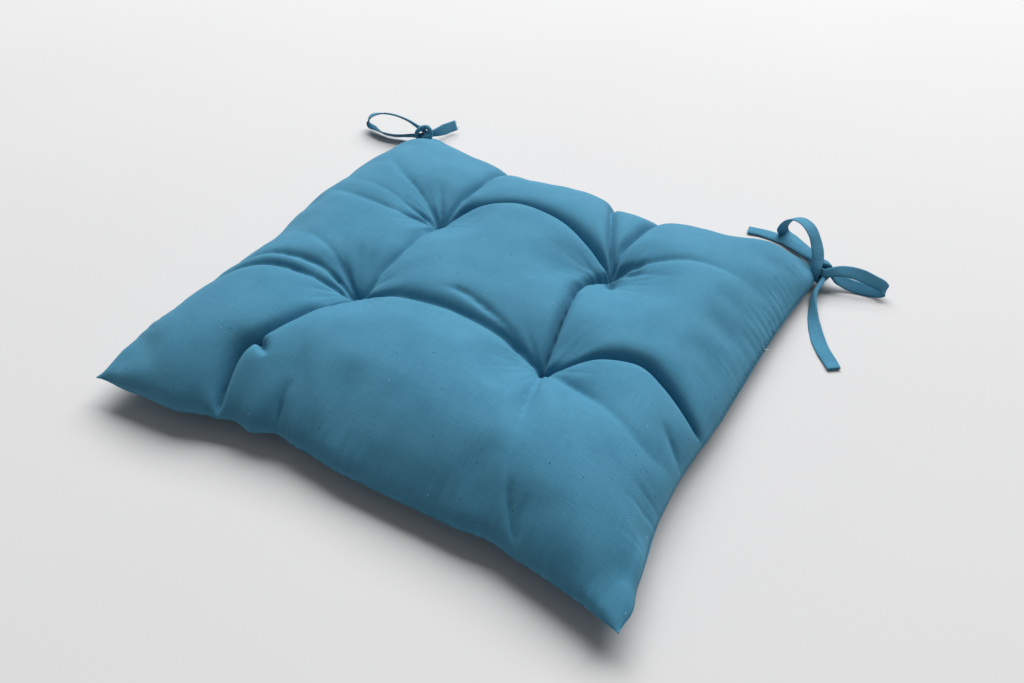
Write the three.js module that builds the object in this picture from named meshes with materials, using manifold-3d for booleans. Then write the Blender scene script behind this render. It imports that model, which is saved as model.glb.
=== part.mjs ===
// Tufted seat pad for a chair: two cotton panels sewn together at their edges over a fibre
// filling, four thread tufts, and a bow of narrow cotton tape at each back corner.
// Millimetres. +X to the right, +Y to the back where the ties are, +Z up. The origin is
// under the middle of the pad, on the surface that it rests on.
import * as THREE from "three";
import { mergeVertices } from "three/addons/utils/BufferGeometryUtils.js";
import Module from "manifold-3d";

const wasm = await Module();
wasm.setup();

// ---- driving dimensions -------------------------------------------------------------
// Each corner's point on the seam: x, y and its height above the seat.
const CORNERS = {
  frontLeft: new THREE.Vector3(-195.5, -194.5, 21.5),
  frontRight: new THREE.Vector3(191.5, -191.5, 19.5),
  backLeft: new THREE.Vector3(-190, 193, 8.5),
  backRight: new THREE.Vector3(193, 181, 9.5),
};
// How far the middle of each side is drawn in between its corners.
const PULL_IN = { front: 17, back: 12, left: 1, right: 8 };
const FRONT_SEAM_DROP = 4; // the seam sags between the two front corners
const CROWN = 39; // height of the pillow over the seam
// How steeply the pillow rises from each side: the larger, the fuller its edge.
const FULLNESS = { front: 4, back: 3.7, left: 9, right: 5.2 };
const CELLS = 20; // grid cells along each side of a panel
const WALL = 1; // thickness of a panel
const GAP = 0.3; // between touching pieces
const FILL_GAP = 0.4; // between the filling and each panel
const TUFT = { u: 0.4, v: 0.3, topDip: 22, topReach: 24, lift: 14, liftReach: 22 };
const UNDERSIDE_FLAT = 0.74; // share of each half width that is free to lie flat
const STRAND_GAP = 4.4; // between the two strands of a tuft
const STRAND = 1; // width of a tuft strand
const STRAND_HOLE = 1.1; // radius of its hole
const TOP_SLACK = 2; // from the dimple's floor to the stitch over it
const UNDER_SLACK = 1.8;
const THREAD_RADIUS = 0.45;
const BARTACK_LIFT = 5; // from the corner's seam to the bar of stitches on the panel over it
const TAPE_RADIUS = 1.5; // a gathered tape's half thickness
const TAPE_SIDES = 8;

const COTTON = { color: 0x3f7f9f, roughness: 0.9, metalness: 0 };
const THREAD = { color: 0x3a7592, roughness: 0.75, metalness: 0 };
const FIBRE = { color: 0xf1efe8, roughness: 1, metalness: 0 };

const seatPad = new THREE.Group();

function addPiece(name, geometry, finish) {
  const piece = new THREE.Mesh(geometry, new THREE.MeshStandardMaterial(finish));
  piece.name = name;
  seatPad.add(piece);
}

// ---- the pad's shape, over u and v from -1 to 1 ---------------------------------------
const rampBetween = (low, high, x) => THREE.MathUtils.clamp((x - low) / (high - low), 0, 1);

function seamPoint(u, v) {
  const front = CORNERS.frontLeft.clone().lerp(CORNERS.frontRight, (u + 1) / 2);
  const back = CORNERS.backLeft.clone().lerp(CORNERS.backRight, (u + 1) / 2);
  const point = front.lerp(back, (v + 1) / 2);
  const alongX = 1 - Math.abs(u) ** 3;
  const alongY = 1 - Math.abs(v) ** 3;
  point.y += alongX * (v < 0 ? PULL_IN.front : PULL_IN.back) * -v;
  point.x += alongY * (u < 0 ? PULL_IN.left : PULL_IN.right) * -u;
  point.z -= FRONT_SEAM_DROP * alongX * rampBetween(1, -1, v);
  return point;
}

const edgeFade = (t, fullness) => (1 - Math.abs(t) ** fullness) ** 0.55;

function crownShare(u, v) {
  const alongX = edgeFade(u, u < 0 ? FULLNESS.left : FULLNESS.right);
  const alongY = edgeFade(v, v < 0 ? FULLNESS.front : FULLNESS.back);
  return alongX * alongY;
}

// Sum over the four tufts of a round dip that is 1 at the tuft.
function tuftShare(point, reach) {
  let share = 0;
  for (const [su, sv] of TUFT_SIGNS) {
    const centre = seamPoint(su * TUFT.u, sv * TUFT.v);
    const away = Math.hypot(point.x - centre.x, point.y - centre.y) / reach;
    share += Math.exp(-away * away);
  }
  return Math.min(share, 1);
}

const TUFT_SIGNS = [
  [-1, -1],
  [1, -1],
  [-1, 1],
  [1, 1],
];

function topHeight(u, v) {
  const point = seamPoint(u, v);
  const share = crownShare(u, v);
  const dip = TUFT.topDip * tuftShare(point, TUFT.topReach);
  return point.z + GAP / 2 + WALL + (CROWN - dip) * share;
}

function underHeight(u, v) {
  const point = seamPoint(u, v);
  const rise = rampBetween(UNDERSIDE_FLAT, 1, Math.max(Math.abs(u), Math.abs(v))) ** 1.6;
  const edge = (point.z - GAP / 2 - WALL) * rise;
  const share = tuftShare(point, TUFT.liftReach);
  return Math.max(edge, TUFT.lift * rampBetween(0.12, 1, share), 0);
}

// ---- panels and filling ------------------------------------------------------------------
// A slab of cells whose upper and lower faces are split along the same diagonals.
function cellSlab(cells, reach) {
  const slab = new THREE.BoxGeometry(2 * reach, 2 * reach, 1, cells, cells, 1);
  const lowerFace = slab.groups[5];
  const index = slab.index.array;
  for (let i = lowerFace.start; i < lowerFace.start + lowerFace.count; i += 6) {
    const [a, b, d, , c] = index.slice(i, i + 6);
    index.set([a, b, c, a, c, d], i);
  }
  return slab;
}

function shapedSlab(cells, reach, upper, lower) {
  const slab = cellSlab(cells, reach);
  const position = slab.getAttribute("position");
  for (let i = 0; i < position.count; i++) {
    const u = position.getX(i);
    const v = position.getY(i);
    const plan = seamPoint(u, v);
    const height = position.getZ(i) > 0 ? upper(u, v) : lower(u, v);
    position.setXYZ(i, plan.x, plan.y, height);
  }
  return slab;
}

function solidFrom(geometry) {
  geometry.deleteAttribute("normal");
  geometry.deleteAttribute("uv");
  const merged = mergeVertices(geometry, 1e-4);
  return new wasm.Manifold(
    new wasm.Mesh({
      numProp: 3,
      vertProperties: merged.getAttribute("position").array,
      triVerts: new Uint32Array(merged.index.array),
    }),
  );
}

function geometryFrom(solid) {
  const mesh = solid.getMesh();
  const geometry = new THREE.BufferGeometry();
  geometry.setAttribute("position", new THREE.BufferAttribute(mesh.vertProperties, 3));
  geometry.setIndex(new THREE.BufferAttribute(mesh.triVerts, 1));
  geometry.computeVertexNormals();
  return geometry;
}

function tuftPlace([su, sv]) {
  const plan = seamPoint(su * TUFT.u, sv * TUFT.v);
  return { x: plan.x, y: plan.y, top: topHeight(su * TUFT.u, sv * TUFT.v) };
}

function withTuftHoles(geometry) {
  let solid = solidFrom(geometry);
  for (const signs of TUFT_SIGNS) {
    const { x, y } = tuftPlace(signs);
    for (const side of [-1, 1]) {
      const drill = new THREE.CylinderGeometry(STRAND_HOLE, STRAND_HOLE, 2 * CROWN, 8);
      drill.rotateX(Math.PI / 2).translate(x + (side * STRAND_GAP) / 2, y, CROWN / 2);
      solid = solid.subtract(solidFrom(drill));
    }
  }
  return geometryFrom(solid);
}

function addPanelsAndFilling() {
  const top = shapedSlab(CELLS, 1, topHeight, (u, v) => topHeight(u, v) - WALL);
  const bottom = shapedSlab(CELLS, 1, (u, v) => underHeight(u, v) + WALL, underHeight);
  const inside = 1 - 2 / CELLS;
  const filling = shapedSlab(
    CELLS - 2,
    inside,
    (u, v) => topHeight(u, v) - WALL - FILL_GAP,
    (u, v) => underHeight(u, v) + WALL + FILL_GAP,
  );
  addPiece("cover_top", withTuftHoles(top), COTTON);
  addPiece("cover_bottom", withTuftHoles(bottom), COTTON);
  addPiece("filling", withTuftHoles(filling), FIBRE);
}

// ---- threads -------------------------------------------------------------------------------
// A tuft is a closed loop of thread: two strands through the pad, joined over and under it.
function tuftLoop(place) {
  const half = STRAND_GAP / 2;
  const high = place.top + TOP_SLACK + STRAND;
  const low = TUFT.lift - UNDER_SLACK - STRAND;
  const outline = new THREE.Shape();
  outline.moveTo(-half - STRAND / 2, low);
  outline.lineTo(half + STRAND / 2, low);
  outline.lineTo(half + STRAND / 2, high);
  outline.lineTo(-half - STRAND / 2, high);
  const window = new THREE.Path();
  window.moveTo(-half + STRAND / 2, low + STRAND);
  window.lineTo(-half + STRAND / 2, high - STRAND);
  window.lineTo(half - STRAND / 2, high - STRAND);
  window.lineTo(half - STRAND / 2, low + STRAND);
  outline.holes.push(window);
  const loop = new THREE.ExtrudeGeometry(outline, { depth: STRAND, bevelEnabled: false });
  return loop.translate(0, 0, -STRAND / 2).rotateX(Math.PI / 2).translate(place.x, place.y, 0);
}

function addTufts() {
  const names = ["front_left", "front_right", "back_left", "back_right"];
  names.forEach((name, i) => {
    addPiece("tuft_thread_" + name, tuftLoop(tuftPlace(TUFT_SIGNS[i])), THREAD);
  });
}

function roundSection(radius, sides) {
  const corners = [];
  for (let i = 0; i < sides; i++) {
    const turn = (2 * Math.PI * i) / sides;
    corners.push(new THREE.Vector2(radius * Math.cos(turn), radius * Math.sin(turn)));
  }
  return new THREE.Shape(corners);
}

function tubeAlong(curve, radius, sides, steps) {
  return new THREE.ExtrudeGeometry(roundSection(radius, sides), {
    extrudePath: curve,
    steps,
    curveSegments: 1,
    bevelEnabled: false,
  });
}

// The lockstitch that joins the panels runs inside the edge, all the way round. It starts and
// ends at the front left corner.
function addEdgeSeam() {
  const inset = 1 - 0.6 / CELLS;
  const points = [];
  const perSide = 16;
  const sides = [
    (t) => [t, -1],
    (t) => [1, t],
    (t) => [-t, 1],
    (t) => [-1, -t],
  ];
  for (const side of sides) {
    for (let i = 0; i < perSide; i++) {
      const [u, v] = side(-0.98 + (1.96 * (i + 0.5)) / perSide);
      points.push(seamPoint(u * inset, v * inset));
    }
  }
  const line = new THREE.CatmullRomCurve3(points, false, "centripetal");
  addPiece("edge_seam_thread", tubeAlong(line, THREAD_RADIUS, 4, 96), THREAD);
}

// The opening that the filling went in by is sewn shut from outside, on the right side.
function addClosingSeam() {
  const points = [];
  for (let v = -0.06; v < 0.5; v += 0.08) {
    const point = seamPoint(1, v);
    points.push(point.setX(point.x + THREAD_RADIUS + GAP));
  }
  const line = new THREE.CatmullRomCurve3(points);
  addPiece("closing_seam_thread", tubeAlong(line, THREAD_RADIUS, 6, 10), THREAD);
}

// A close bar of stitches holds each pair of tapes in its corner.
function addBartacks() {
  const corners = { left: CORNERS.backLeft, right: CORNERS.backRight };
  for (const [name, corner] of Object.entries(corners)) {
    const inward = new THREE.Vector3(-Math.sign(corner.x), -1, 0).setLength(6);
    const bar = new THREE.BoxGeometry(7, 1.4, 0.8);
    bar.rotateZ(corner.x < 0 ? Math.PI / 4 : -Math.PI / 4);
    bar.translate(corner.x + inward.x, corner.y + inward.y, corner.z + BARTACK_LIFT);
    addPiece("bartack_" + name, bar, THREAD);
  }
}

// ---- tie tapes -----------------------------------------------------------------------------
// Each tape's middle line, from where it is caught in the corner to its free end.
const TIE_ROUTES = {
  tie_tape_right_loop_side: [
    [195.2, 179.0, 10.6],
    [197.0, 175.8, 12.2],
    [199.0, 172.6, 13.2],
    [202.4, 170.8, 13.8],
    [207.0, 172.6, 15.0],
    [213.0, 176.3, 16.0],
    [221.0, 178.0, 16.6],
    [230.0, 179.2, 15.6],
    [238.0, 180.2, 13.2],
    [245.8, 181.0, 10.4],
    [248.4, 181.3, 7.2],
    [244.8, 181.1, 4.6],
    [237.0, 180.4, 3.4],
    [229.0, 179.6, 3.4],
    [221.0, 178.8, 4.6],
    [213.0, 177.6, 7.2],
    [207.4, 176.4, 10.2],
    [204.2, 176.2, 12.6],
    [201.4, 177.8, 13.2],
    [199.2, 181.0, 13.2],
    [196.8, 185.0, 12.6],
    [192.6, 190.4, 10.6],
    [186.6, 197.6, 8.0],
    [179.1, 204.2, 5.4],
    [169.2, 210.8, 3.2],
    [158.4, 215.6, 1.9],
    [148.6, 217.6, 1.6],
    [138.9, 217.8, 1.6],
    [128.0, 216.0, 1.6],
  ],
  tie_tape_right_loop_upright: [
    [195.6, 179.2, 14.8],
    [197.4, 177.8, 17.2],
    [200.6, 179.4, 17.4],
    [204.0, 181.4, 13.6],
    [203.8, 179.4, 8.6],
    [201.0, 174.4, 5.8],
    [197.6, 169.6, 7.0],
    [195.9, 168.0, 11.4],
    [195.6, 169.6, 16.2],
    [193.6, 177.0, 23.0],
    [189.6, 183.6, 28.4],
    [184.8, 188.8, 33.4],
    [179.0, 193.8, 36.4],
    [170.6, 201.0, 35.2],
    [162.6, 208.6, 28.6],
    [157.2, 215.6, 18.6],
    [155.0, 221.0, 9.0],
    [157.4, 224.2, 3.2],
    [165.0, 221.8, 1.8],
    [175.0, 214.6, 1.8],
    [185.0, 206.0, 2.0],
    [193.0, 196.6, 3.4],
    [197.4, 187.6, 6.4],
    [198.8, 181.0, 9.4],
    [200.4, 175.0, 9.7],
    [202.2, 169.0, 9.4],
    [202.4, 162.4, 8.4],
    [201.4, 152.4, 6.2],
    [203.4, 142.3, 4.2],
    [207.6, 128.6, 2.6],
    [212.8, 116.2, 1.8],
    [218.3, 105.5, 1.6],
    [224.7, 95.6, 1.6],
    [231.4, 87.6, 1.6],
    [236.4, 81.0, 1.6],
  ],
  tie_tape_left_loop: [
    [-192.4, 196.6, 9.8],
    [-193.4, 199.6, 11.6],
    [-194.6, 202.6, 12.8],
    [-197.6, 203.6, 14.4],
    [-204.3, 203.4, 17.2],
    [-213.7, 203.5, 20.6],
    [-228.0, 203.8, 22.0],
    [-240.0, 203.4, 21.2],
    [-251.0, 202.4, 18.4],
    [-259.4, 201.2, 13.8],
    [-261.6, 199.9, 9.2],
    [-257.6, 198.0, 6.2],
    [-249.6, 195.4, 5.2],
    [-238.4, 193.2, 5.0],
    [-226.5, 194.6, 5.2],
    [-217.0, 198.2, 5.8],
    [-208.0, 201.0, 7.0],
    [-201.6, 202.6, 8.0],
    [-196.4, 204.6, 9.2],
    [-191.8, 208.6, 10.0],
    [-188.4, 214.6, 9.8],
    [-185.8, 222.4, 9.4],
    [-183.8, 230.4, 8.6],
    [-182.2, 238.0, 7.6],
  ],
  tie_tape_left_wrap: [
    [-188.6, 197.6, 10.6],
    [-188.4, 200.4, 13.6],
    [-190.0, 203.6, 17.0],
    [-193.6, 204.8, 18.2],
    [-198.0, 201.6, 17.6],
    [-201.4, 198.2, 13.4],
    [-201.6, 198.6, 8.6],
    [-198.4, 200.2, 5.2],
    [-193.0, 201.8, 4.6],
    [-187.2, 203.4, 6.0],
    [-180.4, 203.6, 6.2],
    [-173.0, 202.0, 5.0],
    [-164.0, 200.0, 3.2],
    [-152.0, 198.4, 1.8],
    [-140.0, 196.8, 1.6],
    [-126.0, 195.0, 1.6],
  ],
};

function addTies() {
  for (const [name, route] of Object.entries(TIE_ROUTES)) {
    const points = route.map(([x, y, z]) => new THREE.Vector3(x, y, z));
    const curve = new THREE.CatmullRomCurve3(points, false, "centripetal");
    const steps = Math.round(curve.getLength() / 4);
    addPiece(name, tubeAlong(curve, TAPE_RADIUS, TAPE_SIDES, steps), COTTON);
  }
}

addPanelsAndFilling();
addTufts();
addEdgeSeam();
addClosingSeam();
addBartacks();
addTies();

export default seatPad;
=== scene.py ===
"""A tufted cotton seat pad for a chair, with a bow of narrow tape at each back corner.

Metres, +X to the right, +Y to the back where the ties are, +Z up. The pad is two cotton panels
sewn together over a fibre filling and drawn down by four thread tufts.
"""

import math

import bpy
import numpy as np
from mathutils import Matrix, Vector, noise


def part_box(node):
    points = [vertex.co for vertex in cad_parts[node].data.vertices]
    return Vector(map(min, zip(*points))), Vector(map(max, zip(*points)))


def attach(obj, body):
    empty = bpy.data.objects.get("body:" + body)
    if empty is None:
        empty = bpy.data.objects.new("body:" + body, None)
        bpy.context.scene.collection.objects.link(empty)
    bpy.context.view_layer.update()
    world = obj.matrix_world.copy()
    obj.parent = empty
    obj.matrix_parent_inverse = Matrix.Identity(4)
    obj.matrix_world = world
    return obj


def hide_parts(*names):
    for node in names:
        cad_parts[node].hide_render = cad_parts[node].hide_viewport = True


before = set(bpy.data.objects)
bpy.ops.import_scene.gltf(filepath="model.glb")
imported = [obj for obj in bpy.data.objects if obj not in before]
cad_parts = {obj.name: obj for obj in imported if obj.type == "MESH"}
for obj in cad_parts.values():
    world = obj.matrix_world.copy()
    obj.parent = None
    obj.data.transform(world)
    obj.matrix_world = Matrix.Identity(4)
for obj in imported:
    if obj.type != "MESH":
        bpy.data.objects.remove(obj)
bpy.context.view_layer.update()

SCENE = bpy.context.scene
MM = 0.001

# ---- small helpers -----------------------------------------------------------------------


def deselect():
    bpy.ops.object.select_all(action="DESELECT")


def pick(piece):
    deselect()
    piece.select_set(True)
    bpy.context.view_layer.objects.active = piece
    return piece


def new_piece(name):
    """The primitive that was added last, under its name."""
    piece = bpy.context.active_object
    piece.name = name
    piece.data.name = name
    return piece


def mesh_piece(name, points, faces):
    mesh = bpy.data.meshes.new(name)
    mesh.from_pydata([tuple(p) for p in points], [], [tuple(f) for f in faces])
    mesh.update()
    piece = bpy.data.objects.new(name, mesh)
    SCENE.collection.objects.link(piece)
    return pick(piece)


def outward(piece):
    """Merge what lies together and turn every face outwards."""
    pick(piece)
    bpy.ops.object.mode_set(mode="EDIT")
    bpy.ops.mesh.select_all(action="SELECT")
    bpy.ops.mesh.remove_doubles(threshold=1e-6)
    bpy.ops.mesh.normals_make_consistent(inside=False)
    bpy.ops.object.mode_set(mode="OBJECT")
    return piece


def smooth(piece):
    pick(piece)
    bpy.ops.object.shade_smooth()
    return piece


def points_of(mesh):
    flat = np.empty(len(mesh.vertices) * 3)
    mesh.vertices.foreach_get("co", flat)
    return flat.reshape(-1, 3)


def set_points(mesh, points):
    mesh.vertices.foreach_set("co", np.asarray(points).ravel())
    mesh.update()


def floor_clear(points, low):
    """Nothing may lie lower than a hair over the seat."""
    points[:, 2] = np.maximum(points[:, 2], low)
    return points


def curve_through(points, step):
    """Points about step apart on a smooth line through the given ones (centripetal)."""
    p = np.array(points, float)
    p = np.vstack([2 * p[0] - p[1], p, 2 * p[-1] - p[-2]])
    line = []
    for a, b, c, d in zip(p, p[1:], p[2:], p[3:]):
        t1 = max(np.linalg.norm(b - a), 1e-9) ** 0.5
        t2 = t1 + max(np.linalg.norm(c - b), 1e-9) ** 0.5
        t3 = t2 + max(np.linalg.norm(d - c), 1e-9) ** 0.5
        count = max(2, math.ceil(np.linalg.norm(c - b) / step))
        for k in range(count):
            t = t1 + (t2 - t1) * k / count
            ab = a + (b - a) * t / t1
            bc = b + (c - b) * (t - t1) / (t2 - t1)
            cd = c + (d - c) * (t - t2) / (t3 - t2)
            abc = ab + (bc - ab) * t / t2
            bcd = bc + (cd - bc) * (t - t1) / (t3 - t1)
            line.append(abc + (bcd - abc) * (t - t1) / (t2 - t1))
    line.append(p[-2])
    return np.array(line)


def along(points):
    """Distance from the first point to each point, along the line."""
    steps = np.linalg.norm(np.diff(points, axis=0), axis=1)
    return np.concatenate([[0], np.cumsum(steps)])


def unit(vectors):
    return vectors / np.linalg.norm(vectors, axis=-1, keepdims=True)


# ---- camera --------------------------------------------------------------------------------
LOOK_AT = Vector((0.0321, -0.0240, 0.0200))
CAMERA_AWAY = 0.620
CAMERA_AZIMUTH, CAMERA_ELEVATION, CAMERA_ROLL = 29.96, 42.44, -0.35  # degrees
LENS, SENSOR = 30.8, 36.0  # millimetres


def add_camera():
    azimuth, elevation = math.radians(CAMERA_AZIMUTH), math.radians(CAMERA_ELEVATION)
    back = Vector(
        (
            math.sin(azimuth) * math.cos(elevation),
            -math.cos(azimuth) * math.cos(elevation),
            math.sin(elevation),
        )
    )
    bpy.ops.object.camera_add(location=LOOK_AT + back * CAMERA_AWAY)
    camera = bpy.context.active_object
    turn = (-back).to_track_quat("-Z", "Y").to_matrix()
    roll = Matrix.Rotation(math.radians(CAMERA_ROLL), 3, "Z")
    camera.rotation_euler = (turn @ roll).to_euler()
    camera.data.lens = LENS
    camera.data.sensor_width = SENSOR
    camera.data.clip_start = 0.01
    SCENE.camera = camera


add_camera()

# ---- shader writing ------------------------------------------------------------------------


class Value:
    """A socket in a material, with arithmetic that adds Math nodes."""

    def __init__(self, shader, socket):
        self.shader = shader
        self.socket = socket

    def math(self, operation, *others):
        return self.shader.node("ShaderNodeMath", {"operation": operation}, [self, *others])[0]

    def __add__(self, other):
        return self.math("ADD", other)

    def __sub__(self, other):
        return self.math("SUBTRACT", other)

    def __rsub__(self, other):
        return self.shader.node("ShaderNodeMath", {"operation": "SUBTRACT"}, [other, self])[0]

    def __mul__(self, other):
        return self.math("MULTIPLY", other)

    __radd__ = __add__
    __rmul__ = __mul__


class Shader:
    """One material's nodes. node() adds any node and gives its outputs as values."""

    def __init__(self, name):
        self.material = bpy.data.materials.new(name)
        self.material.use_nodes = True
        self.tree = self.material.node_tree
        self.tree.nodes.clear()

    def node(self, kind, settings=None, inputs=()):
        node = self.tree.nodes.new(kind)
        for name, value in (settings or {}).items():
            if name == "stops":
                self.set_stops(node.color_ramp, value)
            else:
                setattr(node, name, value)
        pairs = inputs.items() if isinstance(inputs, dict) else enumerate(inputs)
        for key, value in pairs:
            if isinstance(value, Value):
                self.tree.links.new(value.socket, node.inputs[key])
            else:
                node.inputs[key].default_value = value
        return [Value(self, output) for output in node.outputs]

    @staticmethod
    def set_stops(ramp, stops):
        while len(ramp.elements) < len(stops):
            ramp.elements.new(0.5)
        for element, (place, level) in zip(ramp.elements, stops):
            element.position = place
            element.color = (level, level, level, 1)

    def ramp(self, value, *stops):
        return self.node("ShaderNodeValToRGB", {"stops": stops}, [value])[0]

    def blend(self, share, first, second, how="MIX"):
        settings = {"data_type": "RGBA", "blend_type": how}
        return self.node("ShaderNodeMix", settings, {0: share, 6: first, 7: second})[2]

    def noise(self, place, scale, detail=2.0, rough=0.5):
        inputs = {"Vector": place, "Scale": scale, "Detail": detail, "Roughness": rough}
        return self.node("ShaderNodeTexNoise", {}, inputs)[0]

    def stretched(self, place, scale, move=(0, 0, 0)):
        inputs = {"Vector": place, "Scale": scale, "Location": move}
        return self.node("ShaderNodeMapping", {}, inputs)[0]

    def bump(self, height, depth, strength=1.0, normal=None):
        inputs = {"Height": height, "Distance": depth, "Strength": strength}
        if normal is not None:
            inputs["Normal"] = normal
        return self.node("ShaderNodeBump", {}, inputs)[0]

    def finish(self, inputs):
        surface = self.node("ShaderNodeBsdfPrincipled", {}, inputs)[0]
        self.node("ShaderNodeOutputMaterial", {}, {"Surface": surface})
        return self.material


def srgb(red, green, blue):
    """A colour from its 0 to 255 values."""
    parts = [v / 255 for v in (red, green, blue)]
    linear = [p / 12.92 if p <= 0.04045 else ((p + 0.055) / 1.055) ** 2.4 for p in parts]
    return (*linear, 1.0)


PETROL = srgb(70, 136, 166)
PETROL_PALE = srgb(85, 150, 178)
PETROL_DEEP = srgb(50, 113, 144)
FLECK = srgb(14, 48, 70)
LINT = srgb(226, 236, 240)


THREAD_PITCH = 0.52, 0.58  # millimetres between threads, across and along the cut
FLECKS_PER_MM, LINT_PER_MM = 0.085, 0.034


def weave_height(s, place, pitch_x, pitch_y):
    """Plain weave: each thread goes over and under the ones that it crosses."""
    x, y, _ = s.node("ShaderNodeSeparateXYZ", {}, [place])
    across = x * (math.pi / pitch_x)
    down = y * (math.pi / pitch_y)
    over = across.math("SINE") * down.math("SINE")
    rib_x = across.math("COSINE").math("ABSOLUTE")
    rib_y = down.math("COSINE").math("ABSOLUTE")
    return (1 - rib_x) * 0.5 + (1 - rib_y) * 0.5 + over * 0.5


def cotton(name, width, length):
    """Petrol plain-weave cotton with slubs, dark flecks and lint, on the cut's own UV map."""
    s = Shader(name)
    uv = s.node("ShaderNodeUVMap", {"uv_map": "UVMap"})[0]
    cloth = s.stretched(uv, (width * 1000, length * 1000, 1))  # millimetres on the cut
    weave = weave_height(s, cloth, *THREAD_PITCH)
    slub_x = s.noise(s.stretched(cloth, (0.055, 1.15, 1)), 1.0, 3.0, 0.6)
    slub_y = s.noise(s.stretched(cloth, (1.25, 0.045, 1), (7, 3, 0)), 1.0, 3.0, 0.6)
    cloudy = s.noise(s.stretched(cloth, (0.02, 0.024, 1), (2, 9, 0)), 1.0, 3.0, 0.55)
    threads = s.ramp((slub_x + slub_y) * 0.5, (0.34, 0.0), (0.66, 1.0))
    wash = s.ramp(cloudy * 0.6 + threads * 0.4, (0.30, 0.0), (0.72, 1.0))
    colour = s.blend(wash, PETROL_DEEP, PETROL_PALE)
    colour = s.blend(0.5, colour, PETROL)
    grain = s.ramp(weave, (0.15, 0.0), (0.85, 1.0))
    colour = s.blend((1 - grain) * 0.20, colour, PETROL_DEEP)
    cells = {"feature": "F1", "voronoi_dimensions": "2D"}
    flecks = s.node("ShaderNodeTexVoronoi", cells, {"Vector": cloth, "Scale": FLECKS_PER_MM})
    chosen = s.node("ShaderNodeSeparateColor", {}, [flecks[1]])
    size = (chosen[0] - 0.55) * 0.16
    fleck = s.ramp((size - flecks[0]) * 40, (0.0, 0.0), (1.0, 1.0)) * 0.75
    colour = s.blend(fleck * chosen[2], colour, FLECK)
    lint_place = s.stretched(cloth, (1, 1, 1), (41, 17, 0))
    fluff = s.node("ShaderNodeTexVoronoi", cells, {"Vector": lint_place, "Scale": LINT_PER_MM})
    some = s.node("ShaderNodeSeparateColor", {}, [fluff[1]])
    speck = s.ramp((0.014 - fluff[0]) * 110, (0.0, 0.0), (1.0, 1.0))
    speck = speck * s.ramp(some[0], (0.84, 0.0), (0.86, 1.0))
    colour = s.blend(speck * 0.7, colour, LINT)
    rough = 0.80 + threads * 0.12
    fuzz = s.noise(cloth, 1.7, 2.0)
    normal = s.bump(weave + threads * 0.7 + fuzz * 0.5, 0.00022, 0.55)
    return s.finish(
        {
            "Base Color": colour,
            "Roughness": rough,
            "Normal": normal,
            "Specular IOR Level": 0.25,
            "Sheen Weight": 0.22,
            "Sheen Roughness": 0.45,
            "Sheen Tint": srgb(150, 205, 225),
        }
    )


def sewing_thread(name, deep, pale):
    """Two-ply thread: fine diagonal plies and a faint waxed gloss."""
    s = Shader(name)
    place = s.node("ShaderNodeTexCoord")[3]
    x, y, z = s.node("ShaderNodeSeparateXYZ", {}, [place])
    ply = ((x + y * 0.8 + z * 1.3) * 9000).math("SINE") * 0.5 + 0.5
    fibre = s.noise(place, 5200, 2.0)
    colour = s.blend(ply * 0.55 + fibre * 0.35, deep, pale)
    normal = s.bump(ply + fibre * 0.6, 0.00008, 0.8)
    inputs = {"Base Color": colour, "Roughness": 0.62 + fibre * 0.2, "Normal": normal}
    inputs.update({"Sheen Weight": 0.15, "Sheen Roughness": 0.4})
    return s.finish(inputs)


def fibre_filling(name):
    """White polyester fibre: fine crossing strands over soft lumps."""
    s = Shader(name)
    place = s.node("ShaderNodeTexCoord")[3]
    strands = s.noise(s.stretched(place, (900, 140, 500)), 1.0, 4.0, 0.7)
    crossing = s.noise(s.stretched(place, (160, 820, 420), (3, 1, 2)), 1.0, 4.0, 0.7)
    lumps = s.noise(place, 45, 3.0)
    mixed = strands * 0.4 + crossing * 0.4 + lumps * 0.2
    colour = s.blend(s.ramp(mixed, (0.3, 0.0), (0.7, 1.0)), srgb(222, 220, 212), srgb(250, 249, 245))
    normal = s.bump(mixed, 0.0012, 0.9)
    inputs = {"Base Color": colour, "Roughness": 0.85 + strands * 0.1, "Normal": normal}
    inputs.update({"Sheen Weight": 0.4, "Sheen Roughness": 0.6})
    return s.finish(inputs)


# ---- tie tapes ------------------------------------------------------------------------------
TAPE_WIDTH, TAPE_THICK = 0.0100, 0.0013
KNOT_WIDTH, KNOT_THICK = 0.0064, 0.0041  # a tape gathered where it passes through a knot

# Each tape's route, from where it is sewn in to its bare end.
RIGHT_SIDE_ROUTE = [
    (0.1952, 0.1790, 0.0106), (0.1970, 0.1758, 0.0122), (0.1990, 0.1726, 0.0132),
    (0.2024, 0.1708, 0.0138), (0.2070, 0.1726, 0.0150), (0.2130, 0.1763, 0.0160),
    (0.2210, 0.1780, 0.0166), (0.2300, 0.1792, 0.0156), (0.2380, 0.1802, 0.0132),
    (0.2458, 0.1810, 0.0104), (0.2484, 0.1813, 0.0072), (0.2448, 0.1811, 0.0046),
    (0.2370, 0.1804, 0.0034), (0.2290, 0.1796, 0.0034), (0.2210, 0.1788, 0.0046),
    (0.2130, 0.1776, 0.0072), (0.2074, 0.1764, 0.0102), (0.2042, 0.1762, 0.0126),
    (0.2014, 0.1778, 0.0132), (0.1992, 0.1810, 0.0132), (0.1968, 0.1850, 0.0126),
    (0.1926, 0.1904, 0.0106), (0.1866, 0.1976, 0.0080), (0.1791, 0.2042, 0.0054),
    (0.1692, 0.2108, 0.0032), (0.1584, 0.2156, 0.0019), (0.1486, 0.2176, 0.0016),
    (0.1389, 0.2178, 0.0016), (0.1280, 0.2160, 0.0016),
]
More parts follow.
